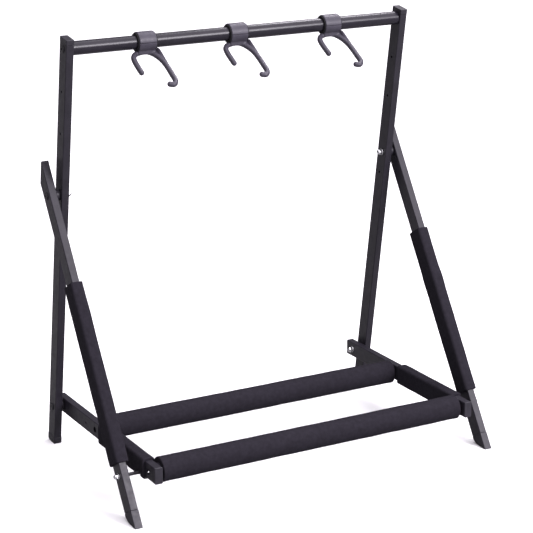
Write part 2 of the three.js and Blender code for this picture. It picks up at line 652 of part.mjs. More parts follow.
// ---------------------------------------------------------------- the rack

const parts = new THREE.Group();
const backFrame = buildBackFrame();
HOOK_NAMES.forEach((name, i) => backFrame.add(buildHook(name, HOOK_X[i])));
parts.add(backFrame);
parts.add(buildLeg('left', -1));
parts.add(buildLeg('right', 1));
parts.add(buildBaseFrame());

// The origin is under the middle of the footprint, on the floor.
parts.updateMatrixWorld(true);
const extent = new THREE.Box3().setFromObject(parts, true);
parts.position.y = -(extent.min.y + extent.max.y) / 2;

const rack = new THREE.Group();
rack.add(parts);
export default rack;
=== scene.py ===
# The looks of a folding floor rack for three guitars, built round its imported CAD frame.
# Metres, +Z up, -Y is the front where the legs stand.

import json
import math

import bmesh
import bpy
import numpy as np
from mathutils import Matrix, Vector, noise


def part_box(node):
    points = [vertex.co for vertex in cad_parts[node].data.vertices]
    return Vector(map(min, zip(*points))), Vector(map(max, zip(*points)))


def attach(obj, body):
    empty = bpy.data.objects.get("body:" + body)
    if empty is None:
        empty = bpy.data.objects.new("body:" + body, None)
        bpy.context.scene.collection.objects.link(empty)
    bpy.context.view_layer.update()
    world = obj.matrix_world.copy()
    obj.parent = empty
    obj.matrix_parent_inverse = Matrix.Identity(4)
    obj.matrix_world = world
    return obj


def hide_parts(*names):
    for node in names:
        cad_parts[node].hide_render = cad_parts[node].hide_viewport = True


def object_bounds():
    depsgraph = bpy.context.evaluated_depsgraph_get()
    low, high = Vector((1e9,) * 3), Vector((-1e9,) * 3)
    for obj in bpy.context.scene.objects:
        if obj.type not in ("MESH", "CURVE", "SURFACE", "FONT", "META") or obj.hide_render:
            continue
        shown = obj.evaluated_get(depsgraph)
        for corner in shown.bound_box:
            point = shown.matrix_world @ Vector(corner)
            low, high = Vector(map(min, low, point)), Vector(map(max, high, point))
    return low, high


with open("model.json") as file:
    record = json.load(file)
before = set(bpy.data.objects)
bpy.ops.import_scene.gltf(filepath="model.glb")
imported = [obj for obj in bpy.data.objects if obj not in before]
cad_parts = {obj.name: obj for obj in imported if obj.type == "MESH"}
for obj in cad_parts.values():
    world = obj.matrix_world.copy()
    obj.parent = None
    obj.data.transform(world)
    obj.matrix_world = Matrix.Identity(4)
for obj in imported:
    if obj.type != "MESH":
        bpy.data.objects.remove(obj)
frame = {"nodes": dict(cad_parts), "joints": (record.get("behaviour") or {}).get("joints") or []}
CAD_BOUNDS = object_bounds()

MM = 0.001
OVER = 2 * MM                  # how far a cutter runs past the face it cuts
GAP = 0.3 * MM                 # between separate pieces that touch

# ---------------------------------------------------------------- mesh tools


def to_object(name, bm):
    """A new object in the scene with this bmesh as its mesh."""
    bmesh.ops.recalc_face_normals(bm, faces=bm.faces)
    mesh = bpy.data.meshes.new(name)
    bm.to_mesh(mesh)
    bm.free()
    obj = bpy.data.objects.new(name, mesh)
    bpy.context.scene.collection.objects.link(obj)
    return obj


def settle(obj):
    """Makes the result of an object's modifiers its own mesh."""
    bpy.context.view_layer.update()
    graph = bpy.context.evaluated_depsgraph_get()
    made = bpy.data.meshes.new_from_object(obj.evaluated_get(graph))
    obj.modifiers.clear()
    old = obj.data
    obj.data = made
    bpy.data.meshes.remove(old)
    return obj


def combine(obj, other, operation):
    """Cuts the other object out of obj, or fuses it to obj, and removes it."""
    boolean = obj.modifiers.new("combine", "BOOLEAN")
    boolean.object = other
    boolean.operation = operation
    boolean.solver = "EXACT"
    settle(obj)
    bpy.data.objects.remove(other)
    return obj


def cut(obj, cutter):
    return combine(obj, cutter, "DIFFERENCE")


def fuse(obj, other):
    return combine(obj, other, "UNION")


def soften(obj, width, segments=3, angle=40):
    """Rounds the edges that are sharper than an angle."""
    bevel = obj.modifiers.new("soften", "BEVEL")
    bevel.width = width
    bevel.segments = segments
    bevel.limit_method = "ANGLE"
    bevel.angle_limit = math.radians(angle)
    bevel.use_clamp_overlap = True
    return settle(obj)


def smooth_shaded(obj, angle=32):
    """Smooth shading that keeps flat faces flat and sharp edges sharp."""
    obj.data.shade_smooth()
    obj.data.set_sharp_from_angle(angle=math.radians(angle))
    weighted = obj.modifiers.new("normals", "WEIGHTED_NORMAL")
    weighted.keep_sharp = True
    return settle(obj)


def rounded_rectangle(width, depth, corner, arc_steps=6, flat_steps=1):
    """Points of a rounded rectangle about the origin, anticlockwise."""
    centres = [
        (width / 2 - corner, -depth / 2 + corner, -90),
        (width / 2 - corner, depth / 2 - corner, 0),
        (-width / 2 + corner, depth / 2 - corner, 90),
        (-width / 2 + corner, -depth / 2 + corner, 180),
    ]
    arcs = []
    for x, y, start in centres:
        turns = [math.radians(start + 90 * i / arc_steps) for i in range(arc_steps + 1)]
        arcs.append([Vector((x + corner * math.cos(a), y + corner * math.sin(a))) for a in turns])
    points = []
    for arc, following in zip(arcs, arcs[1:] + arcs[:1]):
        points += arc
        points += [arc[-1].lerp(following[0], i / flat_steps) for i in range(1, flat_steps)]
    return points


def circle(radius, sides):
    return [
        Vector((radius * math.cos(a), radius * math.sin(a)))
        for a in (2 * math.pi * i / sides for i in range(sides))
    ]


def join_rings(bm, first, second):
    """Faces between two closed rings of vertices; a ring of one vertex is a point."""
    count = max(len(first), len(second))
    for i in range(count):
        j = (i + 1) % count
        corners = [first[i % len(first)], first[j % len(first)],
                   second[j % len(second)], second[i % len(second)]]
        bm.faces.new(list(dict.fromkeys(corners)))


def prism(name, outline, low, high):
    """A closed outline drawn in X and Y, carried from one height to another."""
    bm = bmesh.new()
    bottom = [bm.verts.new((p[0], p[1], low)) for p in outline]
    top = [bm.verts.new((p[0], p[1], high)) for p in outline]
    bm.faces.new(bottom)
    bm.faces.new(top)
    join_rings(bm, bottom, top)
    return to_object(name, bm)


def side_prism(name, outline, width):
    """A closed outline drawn in Y and Z, as wide as this across X."""
    obj = prism(name, outline, -width / 2, width / 2)
    axes = Matrix(((0, 0, 1), (1, 0, 0), (0, 1, 0))).to_4x4()
    obj.data.transform(axes)
    return obj


def turned(name, profile, sides=48, closed=False):
    """A solid turned about X from pairs of x and radius; a closed profile is a ring."""
    bm = bmesh.new()
    rings = []
    for x, radius in profile:
        if radius == 0:
            rings.append([bm.verts.new((x, 0, 0))])
        else:
            rings.append([bm.verts.new((x, p.x, p.y)) for p in circle(radius, sides)])
    for first, second in zip(rings, rings[1:]):
        join_rings(bm, first, second)
    if closed:
        join_rings(bm, rings[-1], rings[0])
    return to_object(name, bm)


def rod(name, radius, start, end, y=0.0, z=0.0, sides=32):
    """A plain cylinder along X, mostly for cutting."""
    obj = turned(name, [(start, 0), (start, radius), (end, radius), (end, 0)], sides)
    obj.data.transform(Matrix.Translation((0, y, z)))
    return obj


def block(name, low, high):
    """A plain block between two corners, for cutting."""
    outline = [(low[0], low[1]), (high[0], low[1]), (high[0], high[1]), (low[0], high[1])]
    return prism(name, outline, low[2], high[2])


# ---------------------------------------------------------------- materials


class Surface:
    """A node material that is built up from noises in the piece's own coordinates."""

    def __init__(self, name, roughness, metallic=0.0, specular=0.5, coat=0.0, sheen=0.0):
        self.material = bpy.data.materials.new(name)
        self.material.use_nodes = True
        self.tree = self.material.node_tree
        self.shader = self.tree.nodes["Principled BSDF"]
        self.shader.inputs["Metallic"].default_value = metallic
        self.shader.inputs["Specular IOR Level"].default_value = specular
        self.shader.inputs["Coat Weight"].default_value = coat
        self.shader.inputs["Coat Roughness"].default_value = 0.25
        self.shader.inputs["Sheen Weight"].default_value = sheen
        self.shader.inputs["Sheen Roughness"].default_value = 0.6
        self.shader.inputs["Roughness"].default_value = roughness
        self.place = self.node("ShaderNodeTexCoord").outputs["Object"]
        self.bumps = None

    def node(self, kind, **values):
        made = self.tree.nodes.new(kind)
        for key, value in values.items():
            setattr(made, key, value)
        return made

    def stretched(self, scale):
        mapping = self.node("ShaderNodeMapping")
        mapping.inputs["Scale"].default_value = scale
        self.tree.links.new(self.place, mapping.inputs["Vector"])
        return mapping.outputs["Vector"]

    def noise(self, scale, detail=2.0, stretch=(1, 1, 1)):
        made = self.node("ShaderNodeTexNoise")
        made.inputs["Scale"].default_value = scale
        made.inputs["Detail"].default_value = detail
        self.tree.links.new(self.stretched(stretch), made.inputs["Vector"])
        return made.outputs["Fac"]

    def cells(self, scale):
        made = self.node("ShaderNodeTexVoronoi")
        made.inputs["Scale"].default_value = scale
        self.tree.links.new(self.place, made.inputs["Vector"])
        return made.outputs["Distance"]

    def ramp(self, value, low, high, start=0.3, end=0.7):
        made = self.node("ShaderNodeMapRange")
        made.inputs["From Min"].default_value = start
        made.inputs["From Max"].default_value = end
        made.inputs["To Min"].default_value = low
        made.inputs["To Max"].default_value = high
        self.tree.links.new(value, made.inputs["Value"])
        return made.outputs["Result"]

    def colour(self, dark, light, pattern, start=0.3, end=0.7):
        made = self.node("ShaderNodeValToRGB")
        made.color_ramp.elements[0].position = start
        made.color_ramp.elements[0].color = (*dark, 1)
        made.color_ramp.elements[1].position = end
        made.color_ramp.elements[1].color = (*light, 1)
        self.tree.links.new(pattern, made.inputs["Fac"])
        self.tree.links.new(made.outputs["Color"], self.shader.inputs["Base Color"])

    def dimmed_for_bounces(self, seen, bounced):
        """Scales the colour: one factor for what the camera sees, a lower one for bounced light."""
        path = self.node("ShaderNodeLightPath")
        scale = self.node("ShaderNodeVectorMath", operation="SCALE")
        colour = self.shader.inputs["Base Color"]
        self.tree.links.new(colour.links[0].from_socket, scale.inputs["Vector"])
        factor = self.ramp(path.outputs["Is Camera Ray"], bounced, seen, 0, 1)
        self.tree.links.new(factor, scale.inputs["Scale"])
        self.tree.links.new(scale.outputs["Vector"], colour)

    def roughness(self, pattern, low, high):
        self.tree.links.new(self.ramp(pattern, low, high), self.shader.inputs["Roughness"])

    def bump(self, pattern, depth, strength=1.0):
        made = self.node("ShaderNodeBump")
        made.inputs["Distance"].default_value = depth
        made.inputs["Strength"].default_value = strength
        self.tree.links.new(pattern, made.inputs["Height"])
        if self.bumps:
            self.tree.links.new(self.bumps, made.inputs["Normal"])
        self.bumps = made.outputs["Normal"]
        self.tree.links.new(self.bumps, self.shader.inputs["Normal"])


def powder_coat():
    """Satin black powder coat: an orange peel about a millimetre across, over a slow drift."""
    made = Surface("powder_coat", 0.42, specular=0.3)
    made.colour((0.014, 0.0122, 0.0178), (0.0195, 0.0172, 0.0245), made.noise(45, 4))
    made.roughness(made.noise(120, 3), 0.38, 0.48)
    made.bump(made.noise(1100, 2), 0.00012, 0.55)
    made.bump(made.noise(90, 2), 0.0004, 0.12)
    return made.material


def gloss_coat():
    """The top bar's glossier black coat, with faint rub marks round it from the hooks."""
    made = Surface("gloss_coat", 0.3, specular=0.3)
    made.colour((0.0105, 0.009, 0.014), (0.0145, 0.0125, 0.0195), made.noise(60, 4))
    made.roughness(made.noise(260, 3, stretch=(5, 1, 1)), 0.27, 0.33)
    made.bump(made.noise(900, 2), 0.00005, 0.2)
    return made.material


def foam():
    """Closed-cell black foam: fine open cells in a matte skin, with a slow unevenness."""
    made = Surface("foam", 0.95, specular=0.08)
    made.colour((0.0142, 0.0126, 0.017), (0.0192, 0.0171, 0.0232), made.noise(140, 6))
    made.roughness(made.noise(500, 3), 0.84, 0.98)
    made.bump(made.cells(900), 0.0005, 0.5)
    made.bump(made.noise(320, 4), 0.0006, 0.25)
    made.bump(made.noise(60, 2), 0.0015, 0.12)
    return made.material


def moulded_plastic(name, dark, light, roughness, grain):
    """Matte moulded plastic with a fine spark-eroded grain."""
    made = Surface(name, roughness, specular=0.3)
    made.colour(dark, light, made.noise(70, 4))
    made.roughness(made.noise(260, 3), roughness - 0.06, roughness + 0.06)
    made.bump(made.noise(1600, 3), 0.00012, grain)
    made.bump(made.noise(120, 2), 0.0004, 0.1)
    return made.material


def rubber():
    made = Surface("liner_rubber", 0.8, specular=0.3)
    made.colour((0.006, 0.006, 0.007), (0.012, 0.011, 0.013), made.noise(300, 3))
    made.bump(made.noise(1400, 2), 0.00015, 0.5)
    return made.material


def steel(name, dark, light, low, high, metallic):
    """Turned steel: fine rings round the axis, and small stains."""
    made = Surface(name, low, metallic=metallic)
    made.colour(dark, light, made.noise(220, 4))
    made.roughness(made.noise(1800, 3, stretch=(9, 1, 1)), low, high)
    made.bump(made.noise(2400, 2, stretch=(9, 1, 1)), 0.00006, 0.35)
    return made.material


MATERIALS = {
    "powder_coat": powder_coat(),
    "gloss_coat": gloss_coat(),
    "foam": foam(),
    "black_plastic": moulded_plastic(
        "black_plastic", (0.018, 0.0162, 0.022), (0.026, 0.0236, 0.0315), 0.46, 0.5),
    "hook_plastic": moulded_plastic(
        "hook_plastic", (0.040, 0.036, 0.049), (0.054, 0.049, 0.066), 0.44, 0.7),
    "liner_rubber": rubber(),
    "black_steel": steel("black_steel", (0.014, 0.013, 0.016), (0.024, 0.022, 0.027), 0.4, 0.55, 0.25),
    "bright_steel": steel("bright_steel", (0.62, 0.62, 0.64), (0.8, 0.8, 0.82), 0.14, 0.28, 1.0),
}

# ---------------------------------------------------------------- places, from the frame


def joint_place(name):
    return Vector(next(j["pos_m"] for j in frame["joints"] if j["name"] == name))


def middle(node):
    low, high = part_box(node)
    return (low + high) / 2


def side_point(point):
    """The same place in the side view, in the middle of the rack."""
    return Vector((0, point.y, point.z))


def member(origin, towards):
    """A member's own axes: Z runs along it, X is the rack's X, and Y lies across its depth."""
    up = (towards - origin).normalized()
    right = Vector((1, 0, 0))
    axes = Matrix((right, up.cross(right), up)).transposed().to_4x4()
    return Matrix.Translation(origin) @ axes


def shifted(place, x):
    return Matrix.Translation((x, 0, 0)) @ place


def local_box(node, place):
    """Lowest and highest corner of a CAD node in a member's own axes."""
    to_local = place.inverted()
    points = np.array([to_local @ v.co for v in frame["nodes"][node].data.vertices])
    return Vector(points.min(axis=0)), Vector(points.max(axis=0))


LEG_PIVOT = side_point(joint_place("left_leg_fold"))
BASE_PIVOT = side_point(joint_place("base_fold"))
BAR = side_point(joint_place("middle_hook_turn"))
REST_ROD = side_point(middle("left_base_rest_rod"))
FRONT_CROSSBAR = side_point(middle("front_crossbar"))
REAR_CROSSBAR = side_point(middle("rear_crossbar"))

UPRIGHT_PLACE = member(BASE_PIVOT, LEG_PIVOT)
LEG_PLACE = member(LEG_PIVOT, 2 * LEG_PIVOT - REST_ROD)
ARM_PLACE = member(BASE_PIVOT, FRONT_CROSSBAR)

SIDES = {"left": -1, "right": 1}
TUBE_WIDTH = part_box("left_arm")[1].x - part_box("left_arm")[0].x
TUBE_DEPTH = (local_box("left_arm", ARM_PLACE)[1] - local_box("left_arm", ARM_PLACE)[0]).y
TUBE_WALL = 1.5 * MM
TUBE_CORNER = 1.8 * MM
BORE_CORNER = 0.6 * MM
BORE_PLAY = 0.35 * MM
PIVOT_RADIUS = 4 * MM
ROD_RADIUS = 3.2 * MM          # also the bar's bolts and the crossbars' screws
BASE_PIVOT_HEIGHT = 77 * MM    # along the upright, from the floor
SPARE_HOLES = [471 * MM, 632 * MM, 711 * MM]
SPARE_HOLE_RADIUS = 2.6 * MM
ARM_SPARE_HOLE = 111 * MM
ACCESS_HOLE_RADIUS = 5.6 * MM
HEAD_HEIGHT = 2 * MM
SOCKET_RADIUS = 2.4 * MM
SCREW_HEAD_HEIGHT = 9 * MM
SCREW_HEAD_RADIUS = 5 * MM
CROSSBAR_WALL = 9 * MM
CAP_PROUD = 0.2 * MM           # how far a cap's plate stands out past its tube
CAP_PLUG = 10 * MM
UPRIGHT_HEEL = (14 * MM, 9 * MM)       # length and rise of the rounding at a foot's rear
LEG_HEEL = (20 * MM, 11 * MM)
FOOT_BEVEL = 1.2 * MM
ROD_COLLAR_RADIUS = 6 * MM
ROD_COLLAR_WIDTH = 2.5 * MM
NOTCH_FLARE = math.radians(34)
FOAM_NOTCH_PLAY = 1.2 * MM


def place_piece(obj, place, slot, body, *nodes, shade=32):
    """Gives a finished piece its shading, material, place and body, in place of CAD nodes."""
    obj.data.transform(place)
    smooth_shaded(obj, shade)
    obj.data.materials.clear()
    obj.data.materials.append(MATERIALS[slot])
    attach(obj, body)
    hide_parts(*nodes)
    return obj


# ---------------------------------------------------------------- rectangular tube stock


def tube_outline(grow=0.0):
    return rounded_rectangle(TUBE_WIDTH + 2 * grow, TUBE_DEPTH + 2 * grow, TUBE_CORNER + grow)


def bore_outline(clearance=0.0):
    inset = 2 * (TUBE_WALL + clearance)
    return rounded_rectangle(TUBE_WIDTH - inset, TUBE_DEPTH - inset, BORE_CORNER)


def hollow_tube(name, low, high):
    tube = soften(prism(name, tube_outline(), low, high), 0.35 * MM)
    return cut(tube, prism("bore", bore_outline(), low - OVER, high + OVER))


def drill(tube, radius, height, across=0.0, sign=0):
    """A hole through both walls, or through the wall on one side of X."""
    reach = TUBE_WIDTH / 2 + OVER
    start = sign * TUBE_WIDTH / 4 if sign else -reach
    end = sign * reach if sign else reach
    return cut(tube, rod("drill", radius, start, end, across, height))


def rounded_cap(name, low, high, facing):
    """The visible plate of an end cap, rounded on its outer face, with its plug inside the tube."""
    plate = soften(prism(name, tube_outline(CAP_PROUD), low, high), 0.9 * MM, 4, 60)
    seat, tip = (low, low - CAP_PLUG) if facing > 0 else (high, high + CAP_PLUG)
    ends = sorted((tip, seat + facing * 0.5 * MM))
    return fuse(plate, prism("plug", bore_outline(GAP), *ends))


# ---------------------------------------------------------------- fasteners


def socket(obj, x, depth, direction, width):
    """A hexagon socket sunk into a head that faces along X."""
    tool = turned("socket", [(x - direction * depth, 0), (x - direction * depth, width),
                             (x + direction * OVER, width), (x + direction * OVER, 0)], 6)
    return cut(obj, tool)


def bolt(name, radius, seat, tip, direction, head_radius, head_height):
    """A low round-headed bolt along X whose head stands on `seat`."""
    crown = seat + direction * head_height
    steps = 6
    dome = [
        (seat + direction * head_height * (0.35 + 0.65 * math.sin(math.pi / 2 * i / steps)),
         head_radius * (0.62 + 0.38 * math.cos(math.pi / 2 * i / steps)))
        for i in range(steps + 1)
    ]
    profile = [(tip, 0), (tip, radius * 0.8), (tip + direction * radius * 0.25, radius),
               (seat, radius), (seat, head_radius), *dome, (crown, 0)]
    return socket(turned(name, profile), crown, head_height * 0.6, direction, SOCKET_RADIUS)


def cap_nut(name, radius, seat, direction):
    """A domed cap nut on a flange, over a chamfered hexagon."""
    flat = radius * 1.42

    def at(distance):
        return seat + direction * distance

    steps = 8
    dome_base = radius * 1.25
    dome_height = radius * 1.3
    dome = [
        (at(dome_base + dome_height * math.sin(math.pi / 2 * i / steps)),
         flat * 0.9 * math.cos(math.pi / 2 * i / steps))
        for i in range(steps)
    ]
    flange = [(at(0), 0), (at(0), flat * 1.11), (at(0.5 * MM), flat * 1.16), (at(1.1 * MM), flat * 1.13),
              (at(1.5 * MM), flat * 0.9)]
    body = turned(name, [*flange, *dome, (at(dome_base + dome_height), 0)])
    hexed = turned("hexagon", [(at(0.9 * MM), 0), (at(0.9 * MM), flat * 1.1),
                               (at(dome_base), flat * 1.1), (at(dome_base), 0)], 6)
    chamfer = turned("chamfer", [(at(0), 0), (at(0), flat * 1.6), (at(dome_base * 0.7), flat * 1.2),
                                 (at(dome_base * 1.1), flat * 0.85), (at(dome_base * 1.1), 0)])
    combine(hexed, chamfer, "INTERSECT")
    fuse(body, hexed)
    return cut(body, rod("bore", radius + BORE_PLAY, at(-OVER), at(radius * 1.6)))


def ring(name, start, end, inner, outer, edge=0.5 * MM):
    """A plain ring along X with rounded edges."""
    return soften(turned(name, [(start, inner), (start, outer), (end, outer), (end, inner)],
                         closed=True), edge)


# ---------------------------------------------------------------- foam

FOAM_LIP = 1.8 * MM            # radius of a cut end's edge
FOAM_ROW = 5 * MM
SLEEVE_CORNER = 5.5 * MM


def lip_inset(distance):
    """How far the foam's skin draws in, this far from a cut end."""
    if distance >= FOAM_LIP:
        return 0.0
    return FOAM_LIP - math.sqrt(FOAM_LIP ** 2 - (FOAM_LIP - distance) ** 2)


def row_heights(low, high):
    lip = [FOAM_LIP * (1 - math.cos(math.pi / 2 * i / 4)) for i in range(5)]
    count = max(2, round((high - low - 2 * FOAM_LIP) / FOAM_ROW))
    inner = [low + FOAM_LIP + (high - low - 2 * FOAM_LIP) * i / count for i in range(1, count)]
    return [low + d for d in lip] + inner + [high - d for d in reversed(lip)]


def outward(points):
    """The outward direction at each point of a closed anticlockwise outline."""
    count = len(points)
    tangents = [points[(i + 1) % count] - points[i - 1] for i in range(count)]
    return [Vector((t.y, -t.x)).normalized() for t in tangents]


# The leg foam passes the base pivot's bolt head with 0.5 mm to spare. Its crown and its
# unevenness could add up to more than that, so the whole skin lies this far in.
FOAM_SUNK = 0.4 * MM


def foam_tube(name, skin, bore, low, high, seed, swell=None):
    """A sleeve of foam along Z: `skin` and `bore` are outlines with the same number of points.

    `swell` gives, at a height and a direction, how far the skin stands out there."""
    normals = outward(skin)
    bm = bmesh.new()
    rings = []
    for z in row_heights(low, high):
        inset = lip_inset(min(z - low, high - z))
        row = []
        for point, normal in zip(skin, normals):
            spot = Vector((point.x, point.y, z))
            slow = noise.noise(spot * 22 + Vector((seed, 0, 0)))
            quick = noise.noise(spot * 75 + Vector((0, seed, 0)))
            out = 0.45 * MM * slow + 0.18 * MM * quick - FOAM_SUNK - inset
            if swell:
                out += swell(z, normal)
            moved = point + normal * out
            row.append(bm.verts.new((moved.x, moved.y, z)))
        rings.append(row)
    rings.append([bm.verts.new((p.x, p.y, high)) for p in bore])
    rings.append([bm.verts.new((p.x, p.y, low)) for p in bore])
    for first, second in zip(rings, rings[1:] + rings[:1]):
        join_rings(bm, first, second)
    return to_object(name, bm)


def smooth_step(value, start, end):
    t = min(1.0, max(0.0, (value - start) / (end - start)))
    return t * t * (3 - 2 * t)


def sleeve_outlines(node, place):
    """The skin and bore of a foam sleeve over rectangular tube, its sides a little crowned."""
    low, high = local_box(node, place)
    size = high - low
    corner = SLEEVE_CORNER
    skin = rounded_rectangle(size.x, size.y, corner, 8, 8)
    crown = 0.5 * MM
    flat = Vector((size.x / 2 - corner, size.y / 2 - corner))
    crowned = []
    for point, normal in zip(skin, outward(skin)):
        if abs(point.x) < flat.x:
            lift = crown * 0.4 * (1 - (point.x / flat.x) ** 2)
        elif abs(point.y) < flat.y:
            lift = crown * (1 - (point.y / flat.y) ** 2)
        else:
            lift = 0
        crowned.append(point + normal * lift)
    bore = rounded_rectangle(TUBE_WIDTH + 2 * GAP, TUBE_DEPTH + 2 * GAP, TUBE_CORNER, 8, 8)
    return crowned, bore, low.z, high.z


def leg_sleeve(side, place):
    """A leg's foam sleeve, drawn in towards its top and bulged just below that step."""
    node = f"{side}_leg_foam"
    skin, bore, low, high = sleeve_outlines(node, place)
    length = high - low
    step = high - length * (0.27 if side == "right" else 0.12)

    def swell(z, normal):
        front = max(0.0, -normal.y)
        narrow = smooth_step(z, step - 10 * MM, step + 8 * MM)
        bulge = math.exp(-((z - step + 16 * MM) / (22 * MM)) ** 2)
        amount = 1.0 if side == "right" else 0.5
        return amount * ((0.6 * bulge - 1.1 * narrow) * (0.4 + 0.6 * front)) * MM

    return foam_tube(node, skin, bore, low, high, SIDES[side] * 3.7, swell)


def pad(obj, place, body, node):
    place_piece(obj, place, "foam", body, node, shade=50)
    return obj


# ---------------------------------------------------------------- the pieces


def floor_height(place, y):
    """Where a line along a member, this far across its depth, meets the floor."""
    origin = place.translation
    across, along = place.col[1], place.col[2]
    return -(origin.z + y * across.z) / along.z


def foot(side, kind, place, tube_end, heel):
    """A solid foot flush with its tube, cut level with the floor, its heel rounded up to the rear."""
    heel_length, heel_rise = heel
    node = f"{side}_{kind}_foot"
    low, high = local_box(node, place)
    half = (high.y - low.y) / 2
    seam = tube_end - GAP
    slope = (floor_height(place, half) - floor_height(place, -half)) / (2 * half)
    corner = Vector((half, floor_height(place, half)))
    before = corner - Vector((heel_length, heel_length * slope))
    after = corner + Vector((0, heel_rise))
    steps = [i / 10 for i in range(11)]
    rounding = [before.lerp(corner, t).lerp(corner.lerp(after, t), t) for t in steps]
    outline = [(half, seam), (-half, seam), (-half, floor_height(place, -half)), *rounding]
    piece = soften(side_prism(node, outline, high.x - low.x), FOOT_BEVEL, 4, 25)
    fuse(piece, prism("plug", bore_outline(GAP), seam - 3 * MM, high.z))
    body = node.replace("_foot", "") if kind == "leg" else "back_frame"
    return place_piece(piece, place, "black_plastic", body, node)


def upright(side):
    node = f"{side}_upright"
    place = shifted(UPRIGHT_PLACE, middle(node).x)
    low, high = local_box(node, place)
    tube = hollow_tube(node, low.z, high.z)
    leg_pivot = (LEG_PIVOT - BASE_PIVOT).length
    bar = (place.inverted() @ BAR).z
    for height, radius in [(0, PIVOT_RADIUS + BORE_PLAY), (leg_pivot, PIVOT_RADIUS + BORE_PLAY),
                           (bar, ROD_RADIUS + BORE_PLAY)]:
        drill(tube, radius, height)
    for height in SPARE_HOLES:
        drill(tube, SPARE_HOLE_RADIUS, height - BASE_PIVOT_HEIGHT)
    place_piece(tube, place, "powder_coat", "back_frame", node)

    cap = f"{side}_upright_top_cap"
    cap_high = local_box(cap, place)[1].z
    piece = rounded_cap(cap, high.z + GAP, cap_high, 1)
    place_piece(piece, place, "black_plastic", "back_frame", cap)
    foot(side, "upright", place, low.z, UPRIGHT_HEEL)


def bolt_piece(node, origin, direction, body, radius):
    """A bolt along X in place of a CAD one; its head is on the side that `direction` points to."""
    low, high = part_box(node)
    ends = (low.x, high.x) if direction > 0 else (high.x, low.x)
    tip, crown = ends
    head_radius = (high.z - low.z) / 2
    seat = crown - direction * HEAD_HEIGHT
    piece = bolt(node, radius, seat, tip, direction, head_radius, HEAD_HEIGHT)
    return place_piece(piece, Matrix.Translation(origin), "black_steel", body, node)


def nut_piece(node, origin, direction, body, radius):
    low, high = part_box(node)
    seat = low.x if direction > 0 else high.x
    piece = cap_nut(node, radius, seat, direction)
    return place_piece(piece, Matrix.Translation(origin), "bright_steel", body, node)


def pivot(side, kind, origin):
    sign = SIDES[side]
    name = f"{side}_{kind}_pivot"
    bolt_piece(f"{name}_bolt", origin, sign, "back_frame", PIVOT_RADIUS)
    nut_piece(f"{name}_cap_nut", origin, -sign, "back_frame", PIVOT_RADIUS)
    low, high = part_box(f"{name}_spacer")
    piece = ring(f"{name}_spacer", low.x, high.x, PIVOT_RADIUS + BORE_PLAY, (high.z - low.z) / 2)
    place_piece(piece, Matrix.Translation(origin), "black_plastic", "back_frame", f"{name}_spacer")


def round_bar(node, origin, slot, body, wall=TUBE_WALL):
    low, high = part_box(node)
    outer = (high.z - low.z) / 2
    piece = turned(node, [(low.x, outer - wall), (low.x, outer), (high.x, outer),
                          (high.x, outer - wall)], 96, closed=True)
    soften(piece, 0.4 * MM)
    return place_piece(piece, Matrix.Translation(origin), slot, body, node)


def leg(side):
    sign = SIDES[side]
    node = f"{side}_leg"
    body = node
    place = shifted(LEG_PLACE, middle(node).x)
    low, high = local_box(node, place)
    rod_height = (place.inverted() @ REST_ROD).z
    tube = hollow_tube(node, low.z, high.z + 2 * TUBE_DEPTH)
    bevel_plane(tube, place, leg_reach(node), keep_below=True)
    drill(tube, PIVOT_RADIUS + BORE_PLAY, 0)
    drill(tube, ROD_RADIUS + BORE_PLAY, rod_height)
    place_piece(tube, place, "powder_coat", body, node)

    cap = f"{side}_leg_top_cap"
    plate = prism(cap, tube_outline(CAP_PROUD), 0, high.z + 2 * TUBE_DEPTH)
    bevel_plane(plate, place, leg_reach(cap), keep_below=True)
    bevel_plane(plate, place, leg_reach(node) + GAP, keep_below=False)
    soften(plate, 0.8 * MM, 3, 50)
    place_piece(plate, place, "black_plastic", body, cap)

    foot(side, "leg", place, low.z, LEG_HEEL)
    pad(leg_sleeve(side, place), place, body, f"{side}_leg_foam")
    rest_rod(side, sign, body)


def leg_reach(node):
    """How far behind the leg pivot a leg's beveled end lies, square to the uprights."""
    back = Vector(UPRIGHT_PLACE.col[1][:3])
    return max((v.co - LEG_PIVOT).dot(back) for v in frame["nodes"][node].data.vertices)


def bevel_plane(obj, place, reach, keep_below):
    """Cuts a leg along the plane, parallel to the uprights, that lies this far behind the pivot."""
    back = Vector(UPRIGHT_PLACE.col[1][:3])
    normal = (place.to_3x3().transposed() @ back).normalized()
    size = 0.3
    cutter = block("plane", (-size, -size, 0), (size, size, size))
    if not keep_below:
        cutter.data.transform(Matrix.Scale(-1, 4, Vector((0, 0, 1))))
        cutter.data.flip_normals()
    turn = Vector((0, 0, 1)).rotation_difference(normal).to_matrix().to_4x4()
    cutter.data.transform(Matrix.Translation(normal * reach) @ turn)
    return cut(obj, cutter)


def rest_rod(side, sign, body):
    node = f"{side}_base_rest_rod"
    low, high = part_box(node)
    outer, tip = (high.x, low.x) if sign > 0 else (low.x, high.x)
    leg_low, leg_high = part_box(f"{side}_leg")
    collar = (leg_low.x if sign > 0 else leg_high.x) - sign * GAP
    collar_end = collar - sign * ROD_COLLAR_WIDTH
    radius = ROD_RADIUS
    chamfer = 0.8 * MM
    profile = [(outer, 0), (outer, radius), (collar, radius), (collar, ROD_COLLAR_RADIUS),
               (collar_end, ROD_COLLAR_RADIUS), (collar_end, radius),
               (tip + sign * chamfer, radius), (tip, radius - chamfer), (tip, 0)]
    piece = soften(turned(node, profile), 0.3 * MM, 2)
    place_piece(piece, Matrix.Translation(REST_ROD), "black_steel", body, node)
    nut_piece(f"{side}_base_rest_cap_nut", REST_ROD, sign, body, radius + BORE_PLAY)


